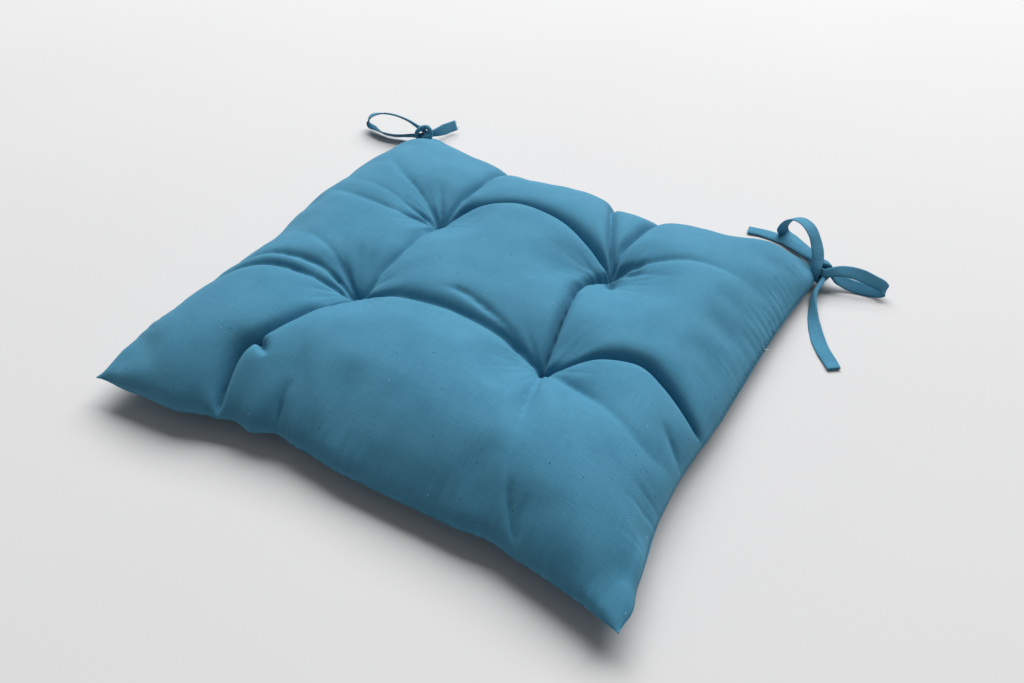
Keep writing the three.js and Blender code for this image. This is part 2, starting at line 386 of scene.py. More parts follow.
RIGHT_UPRIGHT_ROUTE = [
    (0.1956, 0.1792, 0.0148), (0.1974, 0.1778, 0.0172), (0.2006, 0.1794, 0.0174),
    (0.2040, 0.1814, 0.0136), (0.2038, 0.1794, 0.0086), (0.2010, 0.1744, 0.0058),
    (0.1976, 0.1696, 0.0070), (0.1959, 0.1680, 0.0114), (0.1956, 0.1696, 0.0162),
    (0.1936, 0.1770, 0.0230), (0.1896, 0.1836, 0.0284), (0.1848, 0.1888, 0.0334),
    (0.1790, 0.1938, 0.0364), (0.1706, 0.2010, 0.0352), (0.1626, 0.2086, 0.0286),
    (0.1572, 0.2156, 0.0186), (0.1550, 0.2210, 0.0090), (0.1574, 0.2242, 0.0032),
    (0.1650, 0.2218, 0.0018), (0.1750, 0.2146, 0.0018), (0.1850, 0.2060, 0.0020),
    (0.1930, 0.1966, 0.0034), (0.1974, 0.1876, 0.0064), (0.1988, 0.1810, 0.0094),
    (0.2004, 0.1750, 0.0097), (0.2022, 0.1690, 0.0094), (0.2024, 0.1624, 0.0084),
    (0.2014, 0.1524, 0.0062), (0.2034, 0.1423, 0.0042), (0.2076, 0.1286, 0.0026),
    (0.2128, 0.1162, 0.0018), (0.2183, 0.1055, 0.0016), (0.2247, 0.0956, 0.0016),
    (0.2314, 0.0876, 0.0016), (0.2364, 0.0810, 0.0016),
]
LEFT_LOOP_ROUTE = [
    (-0.1924, 0.1966, 0.0098), (-0.1934, 0.1996, 0.0116), (-0.1946, 0.2026, 0.0128),
    (-0.1976, 0.2036, 0.0144), (-0.2043, 0.2034, 0.0172), (-0.2137, 0.2035, 0.0206),
    (-0.2280, 0.2038, 0.0220), (-0.2400, 0.2034, 0.0212), (-0.2510, 0.2024, 0.0184),
    (-0.2594, 0.2012, 0.0138), (-0.2616, 0.1999, 0.0092), (-0.2576, 0.1980, 0.0062),
    (-0.2496, 0.1954, 0.0052), (-0.2384, 0.1932, 0.0050), (-0.2265, 0.1946, 0.0052),
    (-0.2170, 0.1982, 0.0058), (-0.2080, 0.2010, 0.0070), (-0.2016, 0.2026, 0.0080),
    (-0.1964, 0.2046, 0.0092), (-0.1918, 0.2086, 0.0100), (-0.1884, 0.2146, 0.0098),
    (-0.1858, 0.2224, 0.0094), (-0.1838, 0.2304, 0.0086), (-0.1822, 0.2380, 0.0076),
]
LEFT_WRAP_ROUTE = [
    (-0.1886, 0.1976, 0.0106), (-0.1884, 0.2004, 0.0136), (-0.1900, 0.2036, 0.0170),
    (-0.1936, 0.2048, 0.0182), (-0.1980, 0.2016, 0.0176), (-0.2014, 0.1982, 0.0134),
    (-0.2016, 0.1986, 0.0086), (-0.1984, 0.2002, 0.0052), (-0.1930, 0.2018, 0.0046),
    (-0.1872, 0.2034, 0.0060), (-0.1804, 0.2036, 0.0062), (-0.1730, 0.2020, 0.0050),
    (-0.1640, 0.2000, 0.0032), (-0.1520, 0.1984, 0.0018), (-0.1400, 0.1968, 0.0016),
    (-0.1260, 0.1950, 0.0016),
]

# How each tape lies: at a route point, the direction of its width and how far it is spread,
# from 0 where a knot gathers it to 1 where it is flat.
RIGHT_SIDE_LIE = [
    (0, (0.3, 0.3, 0.9), 0.35),
    (3, (0.1, 0.6, 0.8), 0.0),
    (5, (0.1, 0.9, 0.5), 0.75),
    (7, (0.0, 0.78, 0.62), 1.0),
    (10, (0.05, 0.74, 0.66), 1.0),
    (12, (0.0, 0.80, 0.60), 1.0),
    (13, (0.0, 0.80, 0.60), 1.0),
    (15, (0.0, 0.90, 0.44), 0.9),
    (17, (0.0, 0.6, -0.8), 0.0),
    (20, (-0.5, -0.4, -0.8), 0.1),
    (22, (-0.6, -0.6, -0.5), 0.7),
    (24, (-0.5, -0.85, -0.15), 1.0),
    (28, (-0.1, -1.0, 0.0), 1.0),
]
RIGHT_UPRIGHT_LIE = [
    (0, (0.8, 0.6, 0.1), 0.3),
    (2, (0.6, -0.8, 0.1), 0.35),
    (4, (0.6, -0.8, 0.1), 0.45),
    (6, (0.66, -0.7, -0.2), 0.55),
    (8, (0.9, -0.35, 0.1), 0.6),
    (9, (0.8, 0.5, 0.1), 0.8),
    (11, (0.66, 0.75, 0.0), 1.0),
    (13, (0.66, 0.75, 0.0), 1.0),
    (16, (0.66, 0.75, 0.0), 1.0),
    (19, (0.65, 0.76, 0.0), 1.0),
    (21, (0.7, 0.6, 0.3), 0.7),
    (23, (0.4, 0.1, 0.9), 0.0),
    (25, (0.4, 0.0, 0.9), 0.0),
    (27, (0.35, -0.1, 0.93), 0.4),
    (28, (0.40, -0.05, 0.9), 0.65),
    (29, (0.60, 0.15, 0.7), 0.9),
    (31, (0.84, 0.45, 0.25), 1.0),
    (34, (0.80, 0.60, 0.0), 1.0),
]
LEFT_LOOP_LIE = [
    (0, (0.9, 0.3, 0.3), 0.3),
    (3, (0.3, -0.6, 0.7), 0.15),
    (5, (0.4, -0.75, 0.5), 0.65),
    (7, (0.42, -0.72, 0.55), 1.0),
    (9, (0.50, -0.70, 0.10), 1.0),
    (11, (0.50, -0.68, -0.10), 1.0),
    (13, (0.38, -0.66, 0.64), 1.0),
    (15, (0.38, -0.66, 0.64), 0.85),
    (17, (0.2, -0.7, 0.7), 0.15),
    (19, (0.2, -0.1, 0.9), 0.1),
    (20, (-0.3, 0.1, 0.9), 0.6),
    (21, (-0.45, 0.2, 0.87), 1.0),
    (23, (-0.42, 0.2, 0.87), 1.0),
]
LEFT_WRAP_LIE = [
    (0, (0.9, 0.2, -0.3), 0.3),
    (3, (0.4, -0.8, 0.4), 0.0),
    (6, (0.6, -0.75, 0.1), 0.1),
    (8, (0.3, -0.9, 0.1), 0.2),
    (10, (0.1, -0.9, 0.4), 0.5),
    (13, (0.0, -1.0, 0.1), 1.0),
    (15, (-0.1, -1.0, 0.0), 1.0),
]

TAPE_STEP = 0.0012
TAPE_SECTION = 16  # points round a tape's section
SQUARENESS = 0.55  # 1 is an oval section, and less is nearer to a rectangle
HEM, HEM_RISE, HEM_THICKER = 0.0055, 0.0012, 0.0006  # the tape's end, folded in
NEXT_POINTS = 14  # how many points of the line lie between two route points, at most


def lie_along(route, lie, line):
    """Width direction and spread at each point of the smooth line through the route."""
    marks = [int(np.linalg.norm(line - route[0], axis=1).argmin())]
    for point in route[1:-1]:
        after = marks[-1] + 1
        gaps = np.linalg.norm(line[after:] - point, axis=1)
        marks.append(after + int(gaps[:NEXT_POINTS].argmin()))
    marks = np.array([*marks, len(line) - 1])
    stations = marks[[index for index, _, _ in lie]]
    here = np.arange(len(line))
    wide = np.stack([np.interp(here, stations, [d[k] for _, d, _ in lie]) for k in range(3)], 1)
    spread = np.interp(here, stations, [share for _, _, share in lie])
    ahead = unit(np.gradient(line, axis=0))
    wide = unit(wide - (wide * ahead).sum(1, keepdims=True) * ahead)
    return ahead, wide, spread


class Tape:
    """A flat tape swept along its route, and what is needed to sew on it."""

    def __init__(self, name, route, lie, seed):
        self.name = name
        self.line = curve_through(route, TAPE_STEP)
        self.ahead, self.wide, self.spread = lie_along(route, lie, self.line)
        self.up = np.cross(self.ahead, self.wide)
        self.far = along(self.line)
        self.width = KNOT_WIDTH + (TAPE_WIDTH - KNOT_WIDTH) * self.spread
        self.thick = KNOT_THICK + (TAPE_THICK - KNOT_THICK) * self.spread
        wander = [noise.noise(Vector((s * 90, seed, 0.5))) for s in self.far]
        self.width = self.width * (1 + 0.07 * np.array(wander))
        self.curl = 0.0005 * np.array([noise.noise(Vector((s * 60, seed, 7.5))) for s in self.far])
        hem = np.clip((self.far - self.far[-1] + HEM) / HEM_RISE, 0, 1)
        self.thick = self.thick + HEM_THICKER * hem
        self.piece = self.sweep()

    def surface(self, i, side, across):
        """A point on the tape: side is 1 or -1 for its two faces, across from -1 to 1."""
        bend = self.curl[i] * (1 - across * across)
        lift = side * self.thick[i] / 2 * (1 - 0.35 * across**4) + bend
        return self.line[i] + self.wide[i] * across * self.width[i] / 2 + self.up[i] * lift

    def sweep(self):
        turns = np.arange(TAPE_SECTION) * 2 * math.pi / TAPE_SECTION
        flat = np.sign(np.cos(turns)) * np.abs(np.cos(turns)) ** SQUARENESS
        tall = np.sign(np.sin(turns)) * np.abs(np.sin(turns)) ** SQUARENESS
        points, faces = [], []
        for i in range(len(self.line)):
            bend = self.curl[i] * (1 - flat**2)
            lift = tall * self.thick[i] / 2 + bend
            ring = np.outer(flat * self.width[i] / 2, self.wide[i]) + np.outer(lift, self.up[i])
            points.extend(self.line[i] + ring)
        n = TAPE_SECTION
        for i in range(len(self.line) - 1):
            for k in range(n):
                a, b = i * n + k, i * n + (k + 1) % n
                faces.append((a, b, b + n, a + n))
        faces.append(tuple(range(n))[::-1])
        faces.append(tuple(range(len(points) - n, len(points))))
        piece = mesh_piece(self.name, floor_clear(np.array(points), 0.0002), faces)
        self.lay_uv(piece)
        return smooth(piece)

    def lay_uv(self, piece):
        """The tape's own map: U across it once round, V along it."""
        mesh = piece.data
        layer = mesh.uv_layers.new(name="UVMap")
        n = TAPE_SECTION
        for face in mesh.polygons:
            ring = [v % n for v in face.vertices]
            wraps = len(ring) == 4 and max(ring) - min(ring) > 1
            for loop, v, k in zip(face.loop_indices, face.vertices, ring):
                u = (k if not (wraps and k == 0) else n) / n
                layer.data[loop].uv = (u, self.far[v // n] / self.far[-1])


STITCH_LENGTH, STITCH_PITCH, STITCH_RADIUS, STITCH_DIP = 0.0021, 0.0028, 0.00024, 0.00022
TOPSTITCH_OFF_EDGE = 0.0016


def one_stitch():
    """A stitch that lies along X with its ends dipping into the cloth."""
    deselect()
    bpy.ops.mesh.primitive_uv_sphere_add(segments=6, ring_count=6, radius=1.0)
    stitch = new_piece("stitch")
    stitch.data.transform(Matrix.Rotation(math.pi / 2, 4, "Y"))
    points = points_of(stitch.data)
    points *= (STITCH_LENGTH / 2, STITCH_RADIUS, STITCH_RADIUS)
    points[:, 2] -= STITCH_DIP * (points[:, 0] / (STITCH_LENGTH / 2)) ** 2
    set_points(stitch.data, points)
    return smooth(stitch)


def copies(name, model, places):
    """One piece made of copies of a small model, one at each place."""
    made = []
    for place in places:
        twin = model.copy()
        twin.data = model.data.copy()
        twin.data.transform(place)
        SCENE.collection.objects.link(twin)
        made.append(twin)
    deselect()
    for twin in made:
        twin.select_set(True)
    bpy.context.view_layer.objects.active = made[0]
    bpy.ops.object.join()
    piece = bpy.context.active_object
    piece.name = name
    piece.data.name = name
    return piece


def frame_matrix(origin, ahead, side, up):
    """Places a model whose X runs ahead, Y to the side and Z up."""
    m = Matrix((ahead, side, up)).transposed().to_4x4()
    m.translation = origin
    return m


def tape_stitches(tape):
    """The line of topstitching along one edge of a tape, on both faces."""
    places = []
    for start in np.arange(0.004, tape.far[-1] - 0.001, STITCH_PITCH):
        i = int(np.searchsorted(tape.far, start))
        if tape.spread[i] < 0.3:
            continue
        across = 1 - 2 * TOPSTITCH_OFF_EDGE / tape.width[i]
        for side in (1, -1):
            place = tape.surface(i, side, across) - side * tape.up[i] * 0.00006
            if place[2] > 0.0004:
                places.append(frame_matrix(place, tape.ahead[i], tape.wide[i], side * tape.up[i]))
    return copies(tape.name + "_topstitch", STITCH, places)


def strands(name, lines, radius):
    """Thin threads along the given lines, as one mesh."""
    deselect()
    bpy.ops.curve.primitive_bezier_curve_add()
    bundle = new_piece(name)
    bundle.data.splines.clear()
    for line in lines:
        spline = bundle.data.splines.new("POLY")
        spline.points.add(len(line) - 1)
        for point, place in zip(spline.points, line):
            point.co = (*place, 1)
    bundle.data.dimensions = "3D"
    bundle.data.bevel_depth = radius
    bundle.data.bevel_resolution = 1
    bundle.data.use_fill_caps = True
    pick(bundle)
    bpy.ops.object.convert(target="MESH")
    bundle = new_piece(name)
    return smooth(outward(bundle))


FRAY_RADIUS = 0.00010
FRAY_POINTS = 6


def frayed_end(tape, count, reach, seed):
    """Loose warp ends that stand out of a tape's cut end."""
    draw = np.random.default_rng(seed)
    lines = []
    for k in range(count):
        across = -0.9 + 1.8 * (k + 0.5) / count
        start = tape.surface(len(tape.line) - 3, 0, across)
        length = reach * draw.uniform(0.35, 1.0)
        sway = draw.uniform(-0.5, 0.5)
        rise = draw.uniform(-0.25, 0.25)
        line = []
        for t in np.linspace(0, 1, FRAY_POINTS):
            place = start + tape.ahead[-1] * length * t
            place = place + (tape.wide[-1] * sway + tape.up[-1] * rise) * length * t * t
            line.append((*place[:2], max(place[2], FRAY_RADIUS + 0.0001)))
        lines.append(line)
    return strands(tape.name + "_frayed_end", lines, FRAY_RADIUS)


TAPE_CLOTH = cotton("tape_cotton", 0.0226, 0.200)
THREAD_PETROL = sewing_thread("petrol_thread", srgb(28, 84, 112), srgb(62, 128, 158))
THREAD_PALE = sewing_thread("pale_thread", srgb(190, 200, 200), srgb(232, 238, 236))


def dress(piece, material, slot_name, body, *nodes):
    """Material, the CAD nodes that a piece stands for, and its body. slot_name is not used."""
    piece.data.materials.clear()
    piece.data.materials.append(material)
    if nodes:
        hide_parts(*nodes)
    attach(piece, body)
    return piece


def add_tie(name, route, lie, body, frays, fray_reach, seed):
    tape = Tape(name + "_cloth", route, lie, seed)
    dress(tape.piece, TAPE_CLOTH, "tie_cotton", body, name)
    sewn = tape_stitches(tape)
    dress(sewn, THREAD_PETROL, "sewing_thread", body)
    frayed = frayed_end(tape, frays, fray_reach, seed)
    dress(frayed, THREAD_PETROL, "sewing_thread", body)
    return tape


STITCH = one_stitch()
TIES = [  # name, route, lie, body, number and length of the loose ends, seed
    ("tie_tape_right_loop_side", RIGHT_SIDE_ROUTE, RIGHT_SIDE_LIE, "tie_right", 7, 0.003, 11),
    ("tie_tape_right_loop_upright", RIGHT_UPRIGHT_ROUTE, RIGHT_UPRIGHT_LIE, "tie_right", 14, 0.0028, 12),
    ("tie_tape_left_loop", LEFT_LOOP_ROUTE, LEFT_LOOP_LIE, "tie_left", 14, 0.006, 13),
    ("tie_tape_left_wrap", LEFT_WRAP_ROUTE, LEFT_WRAP_LIE, "tie_left", 7, 0.003, 14),
]
for tie in TIES:
    add_tie(*tie)

# ---- the pad's outline ----------------------------------------------------------------------
CELLS = 140  # grid cells along each side of a panel
# How far the middle of each side is drawn in between its corners.
PULL_IN = {"front": 0.017, "back": 0.012, "left": 0.007, "right": 0.008}
FULLNESS = {"front": 4.0, "back": 3.7, "left": 9.0, "right": 5.2}  # larger is fuller at that side
FRONT_SEAM_DROP = 0.004  # the seam sags between the two front corners
CROWN = 0.0405  # height of the pillow over its seam
CLOTH_THICK = 0.0005


def corner_of(node, right, back):
    """The CAD panel's point that lies furthest into one corner."""
    points = points_of(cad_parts[node].data)
    return points[(right * points[:, 0] + back * points[:, 1]).argmax()]


CORNERS = {(r, b): corner_of("cover_bottom", r, b) for r in (-1, 1) for b in (-1, 1)}
TUFT_NODES = {
    (-1, -1): "tuft_thread_front_left",
    (1, -1): "tuft_thread_front_right",
    (-1, 1): "tuft_thread_back_left",
    (1, 1): "tuft_thread_back_right",
}
TUFTS = {
    key: np.array((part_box(node)[0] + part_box(node)[1]) / 2)[:2] for key, node in TUFT_NODES.items()
}

# Where the seam runs in or out of its plain curve: place along the side, then how far in.
FRONT_WAVES = [
    (-0.195, 0.0), (-0.165, -0.0045), (-0.13, -0.0072), (-0.104, -0.0015), (-0.088, 0.002),
    (-0.074, -0.001), (-0.058, 0.006), (-0.04, 0.003), (0.0, -0.0005), (0.03, -0.0005),
    (0.076, 0.0005), (0.104, 0.004), (0.122, 0.002), (0.16, 0.001), (0.191, 0.0),
]
RIGHT_WAVES = [
    (-0.191, 0.0), (-0.176, -0.003), (-0.16, -0.0005), (-0.109, 0.0035), (-0.08, 0.0035),
    (-0.056, 0.0018), (-0.036, -0.0005), (-0.015, -0.002), (0.03, -0.0035), (0.07, -0.0045),
    (0.112, -0.006), (0.15, -0.0075), (0.172, -0.007), (0.181, 0.0),
]
LEFT_WAVES = [
    (-0.195, 0.0), (-0.17, -0.004), (-0.14, -0.004), (-0.105, -0.0055), (-0.07, -0.0068),
    (-0.028, -0.0045), (0.01, -0.0105), (0.04, -0.0105), (0.08, -0.0132), (0.13, -0.014),
    (0.17, -0.011), (0.193, 0.0),
]
BACK_WAVES = [
    (-0.19, 0.0), (-0.15, 0.0035), (-0.11, 0.0035), (-0.078, 0.008), (-0.045, 0.0035), (0.0, 0.003),
    (0.03, 0.008), (0.05, 0.0065), (0.072, 0.0085), (0.1, 0.001), (0.13, -0.0025), (0.172, -0.0065),
    (0.193, 0.0),
]
WAVE_REACH = 0.030  # how far into the pad a wave of the seam is felt
HALF_SIDE = 0.19  # from the middle of the pad to a side, near enough for what fades from the edge


def wave(stations, at):
    """A smooth curve through the stations, read at the given places."""
    x = np.array([s for s, _ in stations])
    y = np.array([d for _, d in stations])
    i = np.clip(np.searchsorted(x, at) - 1, 0, len(x) - 2)
    t = np.clip((at - x[i]) / (x[i + 1] - x[i]), 0, 1)
    t = t * t * (3 - 2 * t)
    return y[i] * (1 - t) + y[i + 1] * t


def lerp(a, b, t):
    return a * (1 - t[..., None]) + b * t[..., None]


def seam_plan(u, v):
    """The flat layout of the panels, pulled in between the corners, at the seam's height."""
    s, t = (u + 1) / 2, (v + 1) / 2
    front = lerp(CORNERS[-1, -1], CORNERS[1, -1], s)
    back = lerp(CORNERS[-1, 1], CORNERS[1, 1], s)
    plan = lerp(front, back, t)
    along_x, along_y = 1 - np.abs(u) ** 3, 1 - np.abs(v) ** 3
    plan[..., 1] -= along_x * np.where(v < 0, PULL_IN["front"], PULL_IN["back"]) * v
    plan[..., 0] -= along_y * np.where(u < 0, PULL_IN["left"], PULL_IN["right"]) * u
    plan[..., 2] -= FRONT_SEAM_DROP * along_x * (1 - v) / 2
    x, y = plan[..., 0].copy(), plan[..., 1].copy()
    plan[..., 1] += wave(FRONT_WAVES, x) * np.exp(-(1 + v) * HALF_SIDE / WAVE_REACH)
    plan[..., 1] -= wave(BACK_WAVES, x) * np.exp(-(1 - v) * HALF_SIDE / WAVE_REACH)
    plan[..., 0] -= wave(RIGHT_WAVES, y) * np.exp(-(1 - u) * HALF_SIDE / WAVE_REACH)
    plan[..., 0] += wave(LEFT_WAVES, y) * np.exp(-(1 + u) * HALF_SIDE / WAVE_REACH)
    return plan


# ---- creases --------------------------------------------------------------------------------
# Each crease, in millimetres: its line over the pad, how deep it is along that line as a share
# of the crown, how far its left and right shoulders reach, and how far the cloth closes over it.
CREASES = [
    # between the tufts
    ([(-75, 49), (-70, 63), (-56, 78), (-27, 93), (11, 89), (51, 70), (70, 59)],
     (0.50, 0.40, 0.36, 0.30, 0.34, 0.42, 0.50), 8, 6, 5.0),
    ([(-75, 49), (-74, 26), (-71, -5), (-72, -34), (-73, -57)],
     (0.50, 0.24, 0.17, 0.22, 0.50), 12, 12, 1.6),
    ([(-73, -57), (-45, -49), (-5, -45), (37, -48), (72, -55)],
     (0.50, 0.20, 0.16, 0.22, 0.50), 11, 13, 1.6),
    ([(70, 59), (60, 42), (58, 21), (62, 4), (66, -16), (70, -38), (72, -55)],
     (0.50, 0.44, 0.40, 0.34, 0.38, 0.44, 0.50), 6, 6, 5.5),
    ([(-22, -35), (-5, -30), (19, -35), (46, -45)], (0.0, 0.08, 0.12, 0.08), 5, 7, 1.6),
    # from the back left tuft
    ([(-75, 49), (-75, 81), (-74, 109), (-78, 143), (-78, 180)],
     (0.50, 0.24, 0.20, 0.20, 0.22), 8, 9, 3.0),
    ([(-75, 49), (-95, 62), (-126, 74), (-162, 99)], (0.45, 0.12, 0.06, 0.0), 5, 7, 2.4),
    ([(-75, 49), (-107, 46), (-133, 48), (-168, 49)], (0.45, 0.07, 0.03, 0.0), 5, 7, 1.6),
    ([(-75, 49), (-102, 32), (-138, 29), (-178, 33)], (0.45, 0.09, 0.05, 0.0), 5, 7, 1.8),
    ([(-75, 49), (-88, 72), (-104, 92)], (0.40, 0.10, 0.0), 4, 5, 1.8),
    # from the front left tuft
    ([(-73, -57), (-105, -40), (-142, -29), (-180, -26)], (0.45, 0.06, 0.02, 0.0), 6, 7, 1.8),
    ([(-73, -57), (-105, -63), (-144, -72), (-175, -97), (-191, -119)],
     (0.45, 0.13, 0.12, 0.08, 0.0), 8, 5, 3.4),
    ([(-73, -57), (-105, -52), (-140, -57), (-176, -74)], (0.45, 0.12, 0.10, 0.04), 6, 7, 3.2),
    ([(-73, -57), (-83, -81), (-93, -111), (-102, -130), (-108, -143), (-106, -163), (-101, -180)],
     (0.45, 0.16, 0.20, 0.38, 0.62, 0.84, 0.88), 8, 7, 4.6),
    ([(-102, -130), (-92, -134), (-84, -142)], (0.40, 0.30, 0.0), 4, 4, 3.0),
    ([(-60, -146), (-61, -156), (-59, -168), (-60, -180)], (0.0, 0.10, 0.36, 0.50), 6, 4, 3.0),
    # from the back right tuft
    ([(70, 59), (55, 87), (42, 116), (31, 142), (26, 178)],
     (0.50, 0.28, 0.26, 0.26, 0.26), 6, 8, 4.0),
    ([(70, 59), (68, 78), (69, 103), (70, 134), (74, 178)],
     (0.50, 0.28, 0.24, 0.26, 0.26), 6, 7, 4.0),
    ([(70, 59), (92, 74), (119, 87), (156, 93)], (0.45, 0.14, 0.08, 0.02), 8, 9, 1.4),
    ([(70, 59), (96, 62), (122, 62)], (0.40, 0.10, 0.0), 6, 7, 1.0),
    # from the front right tuft
    ([(72, -55), (84, -51), (106, -38), (132, -30), (151, -35), (173, -44), (186, -48)],
     (0.50, 0.28, 0.20, 0.26, 0.42, 0.50, 0.46), 6, 5, 5.0),
    ([(72, -55), (125, -78), (164, -91), (178, -86)], (0.40, 0.06, 0.05, 0.08), 10, 10, 0.4),
    ([(72, -55), (88, -111), (101, -152), (118, -176)], (0.40, 0.06, 0.05, 0.08), 10, 8, 0.4),
    # short puckers at the edge
    ([(160, -64), (172, -72), (184, -80)], (0.0, 0.20, 0.26), 4, 4, 2.0),
    ([(100, -146), (108, -160), (122, -177)], (0.0, 0.20, 0.30), 5, 4, 2.4),
    ([(116, -150), (116, -162), (121, -176)], (0.0, 0.12, 0.16), 4, 5, 1.6),
    ([(172, -108), (180, -139), (182, -166)], (0.0, 0.12, 0.10), 5, 5, 1.2),
]
# Where the filling lies thicker or thinner than the plain crown, in millimetres: place, reach
# and height.
SOFT_SPOTS = [
    (-115, 160, 28, -2.0),
    (-50, 160, 30, -4.5),
    (52, 158, 18, -7.5),
    (162, 164, 24, 6.0),
    (-163, 30, 36, 5.2),
    (-162, 92, 38, 4.8),
    (-160, 150, 24, 3.2),
]
MOST_CLOSING = 0.75  # share of the way to a crease that the cloth may be drawn
CLOSENESS = 4.0  # how sharply overlapping creases give way to the deeper one
CREASE_STEP = 0.004  # between the points of a crease's smooth line


def near_line(points, line):
    """For each point: distance to a line, which side it is on, and how far along, 0 to 1."""
    total = along(line)
    best = np.full(len(points), np.inf)
    side = np.ones(len(points))
    place = np.zeros(len(points))
    toward = np.zeros((len(points), 2))
    for k, (a, b) in enumerate(zip(line, line[1:])):
        d = b - a
        t = np.clip((points - a) @ d / (d @ d), 0, 1)
        gap = points - a - t[:, None] * d
        away = np.hypot(gap[:, 0], gap[:, 1])
        closer = away < best
        best = np.where(closer, away, best)
        side = np.where(closer, np.sign(d[0] * gap[:, 1] - d[1] * gap[:, 0]), side)
        place = np.where(closer, (total[k] + t * (total[k + 1] - total[k])) / total[-1], place)
        toward[closer] = -gap[closer]
    return best, side, place, toward


def crease_fields(plan):
    """How deep the creases are at each point, and how the cloth closes over them."""
    points = plan[..., :2].reshape(-1, 2)
    depth = np.zeros(len(points))
    close = np.zeros((len(points), 2))
    nearest = np.full(len(points), np.inf)
    for route, depths, left, right, pinch in CREASES:
        raw = np.array(route, float) * MM
        line = curve_through(raw, CREASE_STEP)
        away, side, place, toward = near_line(points, line)
        stations = along(raw) / along(raw)[-1]
        deep = np.interp(place, stations, depths)
        reach = np.where(side > 0, left, right) * MM
        shape = 0.55 * np.exp(-((away / reach) ** 1.25)) + 0.45 * np.exp(-away / (0.32 * reach))
        depth += (deep * shape) ** CLOSENESS
        x = away / reach
        pull = pinch * MM * np.minimum(deep / 0.35, 1) * x * np.exp(-1.3 * x)
        nearest = np.minimum(nearest, away)
        close += toward / np.maximum(away, 1e-9)[:, None] * pull[:, None]
    depth = depth ** (1 / CLOSENESS)
    shift = np.linalg.norm(close, axis=1)
    close *= (np.minimum(shift, MOST_CLOSING * nearest) / np.maximum(shift, 1e-9))[:, None]
    return depth.reshape(plan.shape[:2]), close.reshape(*plan.shape[:2], 2)


def tuft_field(plan, wide, narrow):
    """How far each point is drawn in by the nearest tuft: a round dip with a sharp middle."""
    field = np.zeros(plan.shape[:2])
    for centre in TUFTS.values():
        away = np.hypot(plan[..., 0] - centre[0], plan[..., 1] - centre[1])
        cone = 0.50 * np.exp(-((away / wide) ** 2)) + 0.50 * np.exp(-away / narrow)
        field = np.maximum(field, cone)
    return field


def noise_field(plan, scale_x, scale_y, seed):
    flat = [
        noise.noise(Vector((x * scale_x, y * scale_y, seed)))
        for x, y in plan[..., :2].reshape(-1, 2)
    ]
    return np.array(flat).reshape(plan.shape[:2])


# How strong the gathers are at the front, back, right and left.
GATHER_SHARES = (0.16, 0.80, 0.14, 0.40)
# Two sizes of gather: wave length, how far in they run, height and which layer of noise.
GATHERS = ((0.017, 0.030, 1.0, 3), (0.009, 0.016, 0.6, 8))


def edge_gathers(u, v, plan):
    """Fine puckers that run in from the seam, where the flat cut is gathered by the fill."""
    total = np.zeros(u.shape)
    x, y = plan[..., 0], plan[..., 1]
    sides = ((1 + v, x), (1 - v, x), (1 - u, y), (1 + u, y))
    for side, (share, (inwards, run)) in enumerate(zip(GATHER_SHARES, sides)):
        from_edge = inwards * HALF_SIDE
        field = np.zeros(u.shape)
        for wave_length, reach, size, layer in GATHERS:
            flat = [
                noise.noise(Vector((r / wave_length, e / 0.07, side * 5.3 + layer)))
                for r, e in zip(run.ravel(), from_edge.ravel())
            ]
            ridge = 1 - 2 * np.abs(np.array(flat).reshape(u.shape))
            field += share * size * (ridge - 0.55) * np.exp(-from_edge / reach)
        total += field
    return total


def crown_share(u, v):
    """How high the pillow stands over its seam: 0 at the edge and 1 in the middle."""
    along_x = 1 - np.abs(u) ** np.where(u < 0, FULLNESS["left"], FULLNESS["right"])
    along_y = 1 - np.abs(v) ** np.where(v < 0, FULLNESS["front"], FULLNESS["back"])
    return (along_x * along_y) ** 0.55


TUFT_DIP = 0.58  # share of the crown that a tuft draws down
DEEPEST = 0.76  # share of the crown that anything may draw down
GATHER_HEIGHT = 0.0008
UNDERSIDE_FLAT = 0.70  # share of each half width that lies flat on the seat
UNDERSIDE_LIFT = 0.014  # how far a tuft lifts the bottom panel


def lumps_of(plan):
    """The filling's own unevenness."""
    lumps = 0.0012 * noise_field(plan, 18, 18, 2.5) + 0.0004 * noise_field(plan, 48, 48, 9.5)
    for x, y, reach, height in SOFT_SPOTS:
        away = np.hypot(plan[..., 0] - x * MM, plan[..., 1] - y * MM) / (reach * MM)
        lumps += height * MM * np.exp(-(away**2))
    return lumps


def panel_shapes():
    """Grids of points for the top and the bottom of the pad, which share their edge."""
    steps = np.linspace(-1, 1, CELLS + 1)
    u, v = np.meshgrid(steps, steps)
    plan = seam_plan(u, v)
    inner = crown_share(u, v)
    tuft = TUFT_DIP * tuft_field(plan, 0.027, 0.0060)
    crease, close = crease_fields(plan)
    hollow = (crease**CLOSENESS + tuft**CLOSENESS) ** (1 / CLOSENESS)
    hollow = np.minimum(hollow, DEEPEST)
    lumps = lumps_of(plan)
    gathers = GATHER_HEIGHT * edge_gathers(u, v, plan)
    top = plan.copy()
    top[..., :2] += close * np.minimum(inner * 2, 1)[..., None]
    top[..., 2] += CROWN * inner * (1 - hollow) + (lumps + gathers) * np.minimum(inner * 2.2, 1)
    under = plan.copy()
    ring = np.maximum(np.abs(u), np.abs(v))
    rise = np.clip((ring - UNDERSIDE_FLAT) / (1 - UNDERSIDE_FLAT), 0, 1) ** 1.6
    edge = plan[..., 2] * rise
    lift = UNDERSIDE_LIFT * tuft_field(plan, 0.024, 0.010)
    folds = 0.0021 * np.minimum(crease / 0.4, 1) * np.clip(1.3 - ring, 0, 1)
    under[..., 2] = np.maximum(edge, lift + folds)
    under[..., 2] += np.minimum(gathers, 0.001) * rise * (1 - rise) * 2
    return top, under, crease


